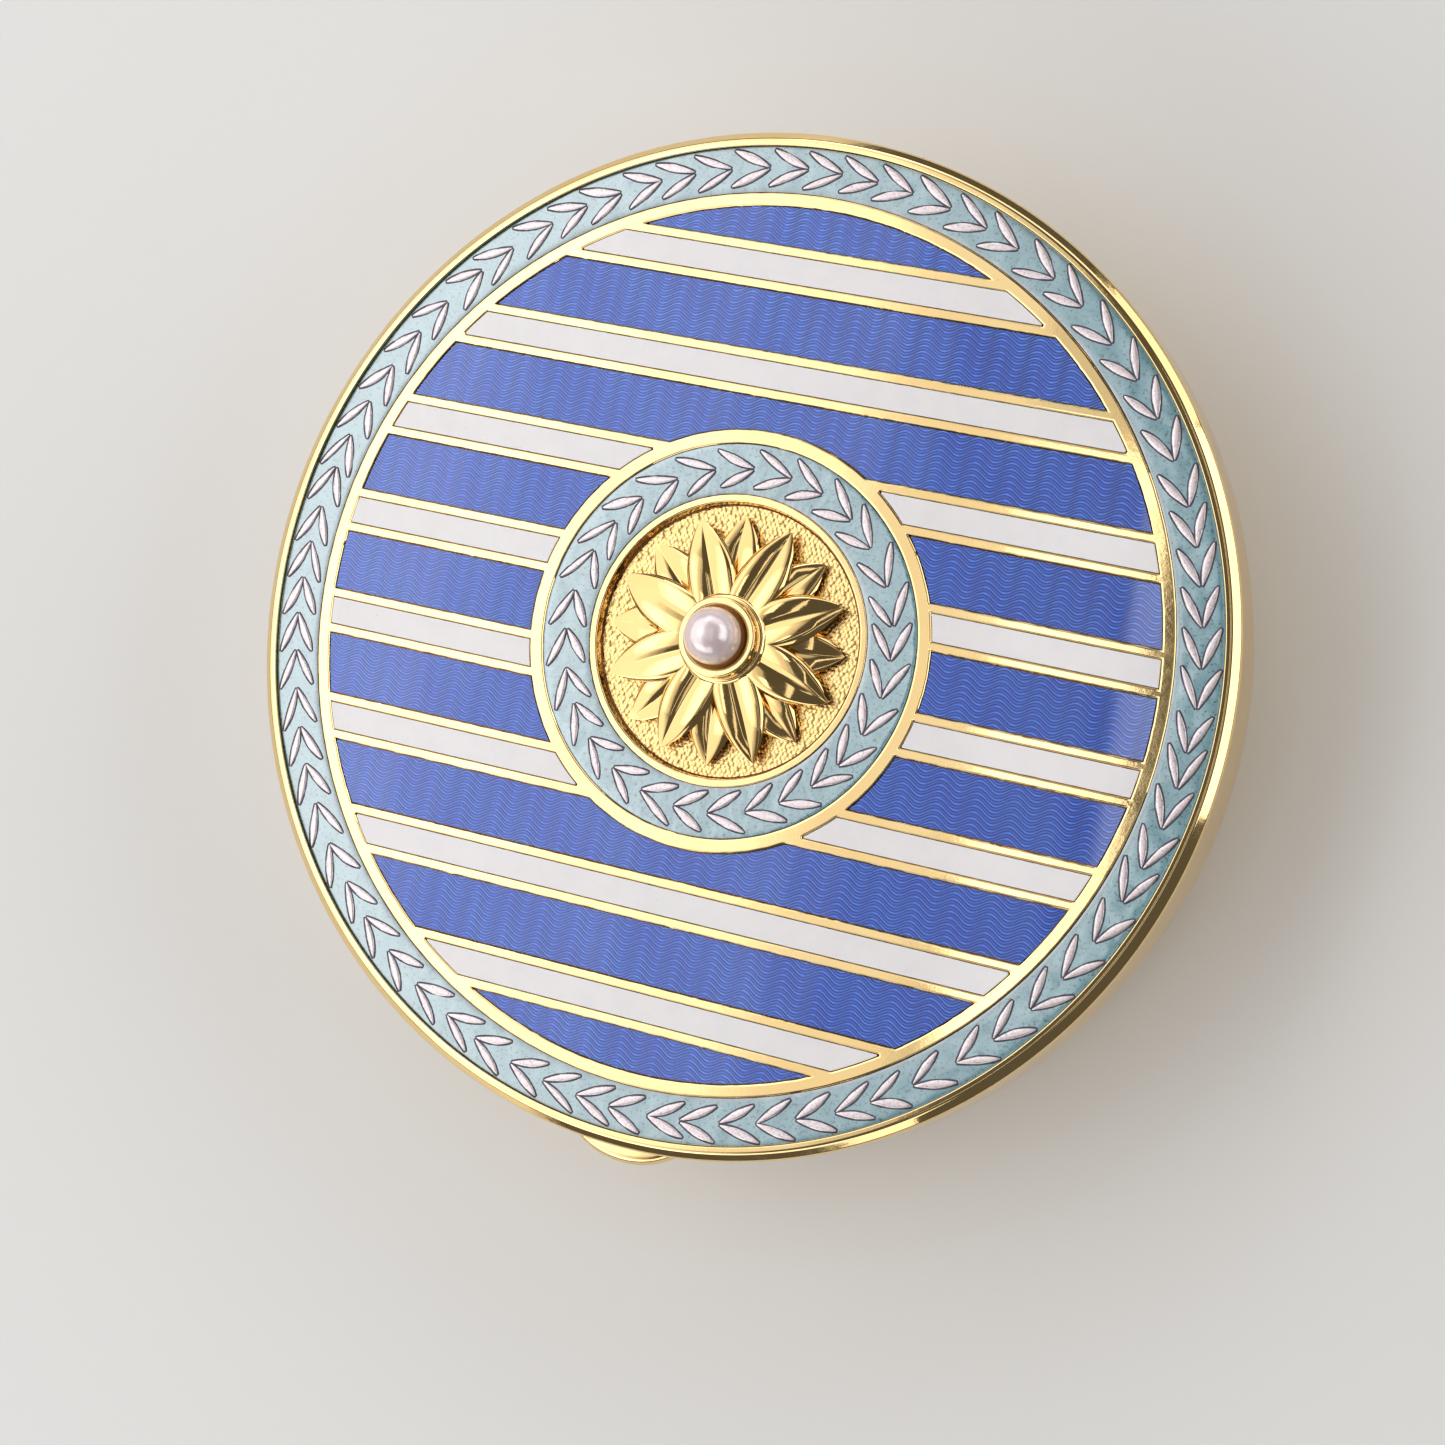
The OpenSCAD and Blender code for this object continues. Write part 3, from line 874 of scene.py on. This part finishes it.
def petal_solid(bm, grid, thickness):
    """A closed petal: the chased top, and an underside a little below it that follows its length."""
    rows = np.array(grid)
    n, m = rows.shape[:2]
    under = rows.copy()
    middle = rows[:, m // 2:m // 2 + 1, :]
    under[:, :, :2] = middle[:, :, :2] + (rows[:, :, :2] - middle[:, :, :2]) * 0.86
    under[:, :, 2] = np.minimum(rows[:, :1, 2], rows[:, -1:, 2]) - thickness
    top = [[bm.verts.new(rows[i, j]) for j in range(m)] for i in range(n)]
    low = [[bm.verts.new(under[i, j]) for j in range(m)] for i in range(n)]
    for i in range(n - 1):
        for j in range(m - 1):
            bm.faces.new((top[i][j], top[i + 1][j], top[i + 1][j + 1], top[i][j + 1]))
            bm.faces.new((low[i][j], low[i][j + 1], low[i + 1][j + 1], low[i + 1][j]))
    for i in range(n - 1):
        bm.faces.new((top[i][0], low[i][0], low[i + 1][0], top[i + 1][0]))
        bm.faces.new((top[i][-1], top[i + 1][-1], low[i + 1][-1], low[i][-1]))
    for j in range(m - 1):
        bm.faces.new((top[0][j], top[0][j + 1], low[0][j + 1], low[0][j]))
        bm.faces.new((top[-1][j], low[-1][j], low[-1][j + 1], top[-1][j + 1]))


PETALS = 8
LOBE_TOP = 0.70
LOBE_HEIGHT = 0.16


def petals(name, node, turn, width, root_z, tip_z, arch, thickness, gold):
    """One layer of the flower, on its hub."""
    bm = bmesh.new()
    for i in range(PETALS):
        angle = math.radians(turn + i * 360 / PETALS + rng.normal(0, 0.7))
        lean = rng.choice([-1, 1]) * rng.uniform(0.3, 1.0)
        tip = PETAL_R + rng.normal(0, 0.04)
        petal_solid(bm, petal_grid(angle, 1.25, tip, width, root_z, tip_z, arch, lean), thickness)
    hub = [(0.3, root_z - 0.45), (1.75, root_z - 0.45), (1.75, root_z), (0.3, root_z)]
    points, faces = lathe(rounded(hub, 0.06), 96)
    verts = [bm.verts.new(p) for p in points]
    for face in faces:
        bm.faces.new([verts[k] for k in face])
    return from_bmesh(bm, name, [node], "lid", gold, 42)


def pearl_cup(gold):
    """The collet: a turned cup with a foot ring, a groove and a broad rounded lip.

    Each corner of its profile has a radius, a level and a rounding.
    """
    z0, z1 = COLLET_Z
    r = COLLET_R
    profile = [(0.0, z0 - 0.12, 0.0), (r - 0.04, z0 - 0.12, 0.05), (r + 0.04, z0, 0.05),
               (r + 0.04, z0 + 0.30, 0.14), (r - 0.10, z0 + 0.42, 0.05), (r - 0.22, z0 + 0.42, 0.03),
               (r - 0.26, z0 + 0.52, 0.03), (r - 0.22, z1 - 0.18, 0.06), (r - 0.26, z1 + 0.02, 0.14),
               (r - 0.60, z1 + 0.02, 0.14), (r - 0.72, z1 - 0.16, 0.06), (r - 0.88, z1 - 0.34, 0.08),
               (r - 1.25, z1 - 0.50, 0.08), (0.0, z1 - 0.60, 0.0)]
    smooth = rounded([corner[:2] for corner in profile], [corner[2] for corner in profile])
    return turned("pearl_cup", smooth, ["collet"], "lid", gold, 128, 50)


def pearl(mat):
    """The pearl, very slightly out of round."""
    low, high = PEARL_Z
    radius = (high - low) / 2
    bm = bmesh.new()
    bmesh.ops.create_uvsphere(bm, u_segments=96, v_segments=64, radius=radius)
    for v in bm.verts:
        v.co *= 1 + 0.006 * noise.noise(v.co * 0.8)
        v.co.z += low + radius
    return from_bmesh(bm, "pearl_bead", ["pearl"], "lid", mat, 180)


# ---------------------------------------------------------------- lid: metalwork

def cut_hinge(obj, knuckle_node, extra):
    """Cuts the room for the hinge's knuckles out of a turned piece."""
    low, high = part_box("hinge_pin")
    y, z = (low.y + high.y) / 2, (low.z + high.z) / 2
    barrel_low, barrel_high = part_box(knuckle_node)
    radius = ((barrel_high.z - barrel_low.z) / 2 + extra * MM) / MM
    length = ((barrel_high.x - barrel_low.x) + 2 * extra * MM) / MM
    bm = bmesh.new()
    bmesh.ops.create_cone(bm, cap_ends=True, segments=64, radius1=radius, radius2=radius, depth=length)
    bmesh.ops.rotate(bm, verts=bm.verts, matrix=Matrix.Rotation(math.pi / 2, 3, "Y"))
    bmesh.ops.translate(bm, verts=bm.verts, vec=(0, y / MM, z / MM))
    bmesh.ops.scale(bm, vec=(MM, MM, MM), verts=bm.verts)
    mesh = bpy.data.meshes.new("hinge_cutter")
    bm.to_mesh(mesh)
    bm.free()
    cutter = bpy.data.objects.new("hinge_cutter", mesh)
    bpy.context.scene.collection.objects.link(cutter)
    modifier = obj.modifiers.new("hinge", "BOOLEAN")
    modifier.object = cutter
    modifier.operation = "DIFFERENCE"
    modifier.solver = "EXACT"
    bpy.context.view_layer.update()
    result = bpy.data.meshes.new_from_object(obj.evaluated_get(bpy.context.evaluated_depsgraph_get()))
    obj.modifiers.clear()
    obj.data = result
    bpy.data.objects.remove(cutter)


# Rounding of the two edges that meet where the lid closes on the base
SEAM = 0.15
# How far the rim's top falls towards its outer edge
RIM_FALL = 0.010
# Width and height of the chamfer between the rim's top and its wall
CHAMFER_WIDTH = 0.42
CHAMFER_HEIGHT = 0.36
# Room round the hinge's knuckles
HINGE_ROOM = 0.1


def rim(gold):
    """The lid's turned rim: a top that falls a trace outwards, a chamfered shoulder and an upright wall."""
    outline = [(LID_BORE_R, RIM_Z0), (LID_R, RIM_Z0), (LID_R, RIM_Z1 - CHAMFER_HEIGHT),
               (LID_R - CHAMFER_WIDTH, RIM_Z1 - RIM_FALL), (PLATE_R, RIM_Z1), (PLATE_R, PLATE_Z0),
               (LID_BORE_R, PLATE_Z0)]
    smooth = rounded(outline, [0.05, SEAM, 0.12, 0.10, 0.05, 0.0, 0.0], 8)
    obj = turned("rim_band", smooth, ["lid_rim"], "lid", gold, 360, 50)
    cut_hinge(obj, "base_knuckles", HINGE_ROOM)
    return obj


def lining(gold):
    """The polished disc inside the lid, turned with fine rings."""
    z0, z1 = levels("lid_lining")
    inner, outer = radii("lid_lining")
    pitch, depth = 0.5, 0.012
    across = np.arange(inner + 1.2, outer - 0.6, 0.05)
    under = [(r, z0 + depth * (1 - math.cos(TAU * r / pitch))) for r in across]
    outline = [(inner, z1), (inner, z0)] + under + [(outer - 0.2, z0), (outer, z0 + 0.15), (outer, z1)]
    return turned("lid_inner_disc", outline, ["lid_lining"], "lid", gold, 256, 35)


def thumb_lip(gold):
    """The lip to open the lid by, its edges rounded."""
    low, high = (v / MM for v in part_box("thumbpiece"))
    reach = LID_R - 0.05
    half = high.x
    tip = -low.y - LID_R
    across, rings = 40, 12
    bm = bmesh.new()
    loops = []
    middle = (low.z + high.z) / 2
    thick = (high.z - low.z) / 2
    for i in range(across + 1):
        share = -1 + 2 * i / across
        x = share * half
        back = math.sqrt(reach ** 2 - x ** 2)
        out = math.sqrt(LID_R ** 2 - x ** 2) + tip * (1 - share * share) ** 0.8
        loop = []
        for k in range(rings + 1):
            turn = -math.pi / 2 + math.pi * k / rings
            if out - back > thick:
                y = -(out - thick * 0.9 * (1 - math.cos(turn)))
            else:
                y = -(back + (out - back) * math.cos(turn))
            loop.append(bm.verts.new((x, y, middle + thick * math.sin(turn))))
        loop.append(bm.verts.new((x, -back, high.z)))
        loop.insert(0, bm.verts.new((x, -back, low.z)))
        loops.append(loop)
    for a, b in zip(loops, loops[1:]):
        for k in range(len(a)):
            nk = (k + 1) % len(a)
            bm.faces.new((a[k], a[nk], b[nk], b[k]))
    bm.faces.new(loops[0][::-1])
    bm.faces.new(loops[-1])
    bmesh.ops.remove_doubles(bm, verts=bm.verts, dist=1e-4)
    return from_bmesh(bm, "thumb_lip", ["thumbpiece"], "lid", gold, 50)


# ---------------------------------------------------------------- base and hinge

def bowl(gold):
    """The base's wall: an upright collar over a quarter-ellipse bowl."""
    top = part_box("base_bowl")[1].z / MM
    top_r = radii("base_bowl")[1]
    plate_r = radii("bottom_plate")[1]
    bottom = levels("bottom_plate")[1]
    bezel_r, bezel_z = radii("bezel_ring")[1], levels("bezel_ring")[0]
    foot_r = plate_r + 0.8
    wall = 0.8
    collar = bezel_z
    steps = 40

    def side(inset, z):
        """Radius of the wall at a height, moved in by inset."""
        below = 1 - min(1.0, z / collar)
        return foot_r - inset + (top_r - foot_r) * math.sqrt(max(0.0, 1 - below ** 2))

    heights = [collar * (1 - math.cos(math.pi / 2 * k / steps)) for k in range(steps + 1)]
    outside = [(side(0, z), z) for z in heights]
    inside = [(side(wall, z), z) for z in np.linspace(bezel_z, bottom, steps)]
    lip = [(top_r, top - SEAM), (top_r - 0.3 * SEAM, top - 0.3 * SEAM), (top_r - SEAM, top),
           (bezel_r, top), (bezel_r, bezel_z)]
    outline = [(plate_r, 0)] + outside + lip + inside + [(plate_r, bottom)]
    obj = turned("bowl_wall", outline, ["base_bowl"], "base", gold, 360, 30)
    cut_hinge(obj, "base_knuckles", HINGE_ROOM)
    return obj


def bottom(gold):
    """The bottom plate, with a turned line near its edge."""
    z0, z1 = levels("bottom_plate")
    r = radii("bottom_plate")[1]
    outline = [(0, z0), (r - 1.9, z0), (r - 1.8, z0 + 0.06), (r - 1.7, z0), (r, z0), (r, z1),
               (r - 0.9, z1), (r - 1.0, z1 - 0.05), (r - 1.1, z1), (0, z1)]
    return turned("floor_plate", outline, ["bottom_plate"], "base", gold, 256, 30)


def bezel(gold):
    """The collar that the lid closes over."""
    inner, outer = radii("bezel_ring")
    z0, z1 = levels("bezel_ring")
    outline = rounded([(inner, z0), (outer, z0), (outer, z1), (inner, z1)], [0.02, 0.02, 0.16, 0.16], 5)
    return turned("bezel_collar", outline, ["bezel_ring"], "base", gold, 360, 40)


# ---------------------------------------------------------------- the object

gold = polished_gold()
# The plate's gold gets painted shade in the gaps below the face level.
plate_gold = polished_gold("plate_gold", 0.55, FACE_Z)
petal_gold = polished_gold("petal_gold", 1.0, None, PETAL_TONES)
blue, white = blue_enamel(), white_enamel()
foil, edging = leaf_foil(), leaf_edge()

gold_plate(plate_gold)
recess_ring(gold)
for number, node in enumerate(BLUE, 1):
    blue_fill(node, number, blue)
for number, node in enumerate(WHITE, 1):
    white_fill(node, number, white)
for side, ring in (("outer", OUTER_RING), ("inner", INNER_RING)):
    teal_fill(f"{side}_glass_ring", f"{side}_enamel_ring", *ring, teal_enamel(f"{side}_teal", ring))
leaf_ring("outer_leaf_foils", "outer_leaves", OUTER_LEAVES, foil, edging)
leaf_ring("inner_leaf_foils", "inner_leaves", INNER_LEAVES, foil, edging)
ground(matted_gold())
petals("back_flower", "back_petals", 3.5, 2.6, FACE_Z + 0.27, FACE_Z - 0.12, 0.10, 0.16, petal_gold)
petals("front_flower", "front_petals", 26, 2.45, FACE_Z + 0.50, FACE_Z + 0.08, 0.14, 0.16, petal_gold)
pearl_cup(gold)
pearl(nacre())
rim(gold)
lining(gold)
thumb_lip(gold)
bowl(gold)
bottom(gold)
bezel(gold)
for name in ("lid_knuckles", "base_knuckles", "hinge_pin", "hinge_saddle", "catch_bead",
             "rosette_stud", "pearl_peg"):
    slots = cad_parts[name].data.materials
    slots.clear()
    slots.append(gold)


# ---------------------------------------------------------------- stage, light and camera

def floor():
    """The level floor that the box stands on."""
    mesh = bpy.data.meshes.new("floor")
    size = 3.0
    corners = [(-size, -size, 0), (size, -size, 0), (size, size, 0), (-size, size, 0)]
    mesh.from_pydata(corners, [], [(0, 1, 2, 3)])
    obj = bpy.data.objects.new("floor", mesh)
    bpy.context.scene.collection.objects.link(obj)
    mesh.materials.append(pale_floor())


# The key lamp hangs level above the lid: stacked panels, whose right-hand edges step back to soften it.
# Its hot part is a smaller stack just below.
KEY_HEIGHT = 0.6
KEY_RADIANCE = 1.45
HOT_RADIANCE = 1.15
HOT_LEFT = (-0.47, -0.43, -0.39)
HOT_FRONT, HOT_BACK = -0.17, 0.21
KEY_LEFT = -2.6
KEY_EDGES = (-0.265, -0.23, -0.195, -0.16, -0.125)
KEY_DEPTH = 3.2
KEY_STEP = 0.002
HOT_DROP = 0.02
HOT_GROW = 0.02
# Narrow level lamps: left, right, front and back edge, height, radiance and turn
NARROW = {
    "strip": (-0.150, -0.113, -0.063, 0.085, KEY_HEIGHT - 0.01, 1.8, 4.0),
    "streak_near": (-0.02, 0.01, -0.25, 0.25, KEY_HEIGHT, 1.3, -6.0),
    "streak_far": (0.14, 0.21, -0.30, 0.30, KEY_HEIGHT, 0.8, 8.0),
}
# Tilted lamps round the box: length along X and Y, place, tilt in degrees about X and Y, radiance
TILTED = {
    "side": (0.32, 0.66, (0.5, 0.25, 0.26), (0, 63), 2.2),
    "front": (0.70, 0.26, (-0.15, -0.5, 0.24), (64, 0), 1.5),
    "back": (0.70, 0.26, (0.1, 0.5, 0.24), (-64, 0), 1.5),
}
ROOM_TONE = (0.115, 0.11, 0.10, 1)


def panel(name, x0, x1, y0, y1, height, radiance, turn=0.0):
    """A level rectangular lamp of the given brightness, facing down."""
    data = bpy.data.lights.new(name, "AREA")
    data.shape = "RECTANGLE"
    data.size, data.size_y = x1 - x0, y1 - y0
    data.energy = math.pi * radiance * data.size * data.size_y
    obj = bpy.data.objects.new(name, data)
    bpy.context.scene.collection.objects.link(obj)
    obj.location = ((x0 + x1) / 2, (y0 + y1) / 2, height)
    obj.rotation_euler = (0, 0, math.radians(turn))
    return obj


def studio():
    """A dim room, the key lamp, and the narrow and tilted lamps."""
    world = bpy.data.worlds.new("studio")
    bpy.context.scene.world = world
    world.use_nodes = True
    background = world.node_tree.nodes["Background"]
    background.inputs["Color"].default_value = ROOM_TONE
    for index, edge in enumerate(KEY_EDGES):
        height = KEY_HEIGHT + KEY_STEP * index
        radiance = KEY_RADIANCE / len(KEY_EDGES)
        panel(f"key_{index}", KEY_LEFT, edge, -KEY_DEPTH / 2, KEY_DEPTH / 2, height, radiance)
    for index, (left, edge) in enumerate(zip(HOT_LEFT, KEY_EDGES[::2])):
        grow = HOT_GROW * index
        height = KEY_HEIGHT - HOT_DROP - KEY_STEP * index
        radiance = HOT_RADIANCE / len(HOT_LEFT)
        panel(f"hot_{index}", left, edge, HOT_FRONT - grow, HOT_BACK + grow, height, radiance)
    for name, layout in NARROW.items():
        panel(name, *layout)
    for name, (along_x, along_y, spot, tilt, radiance) in TILTED.items():
        lamp = panel(name, -along_x / 2, along_x / 2, -along_y / 2, along_y / 2, 0.0, radiance)
        lamp.location = spot
        lamp.rotation_euler = (math.radians(tilt[0]), math.radians(tilt[1]), 0)
    bpy.context.scene.view_settings.view_transform = "Standard"


def camera():
    """Stands above the lid's right half, rolled so that the stripes fall to the right."""
    radius = LID_R * MM
    right = Vector((0.91465, 0.22043, -0.33886))
    up = Vector((-0.20306, 0.97535, 0.08637))
    back = right.cross(up)
    data = bpy.data.cameras.new("camera")
    data.lens = 78.15
    data.sensor_width = 36
    data.clip_start = 0.005
    obj = bpy.data.objects.new("camera", data)
    bpy.context.scene.collection.objects.link(obj)
    spot = Vector((2.1436, -0.2182, 5.6637)) * radius + Vector((0, 0, FACE_Z * MM))
    obj.matrix_world = Matrix.Translation(spot) @ Matrix((right, up, back)).transposed().to_4x4()
    bpy.context.scene.camera = obj


floor()
studio()
camera()
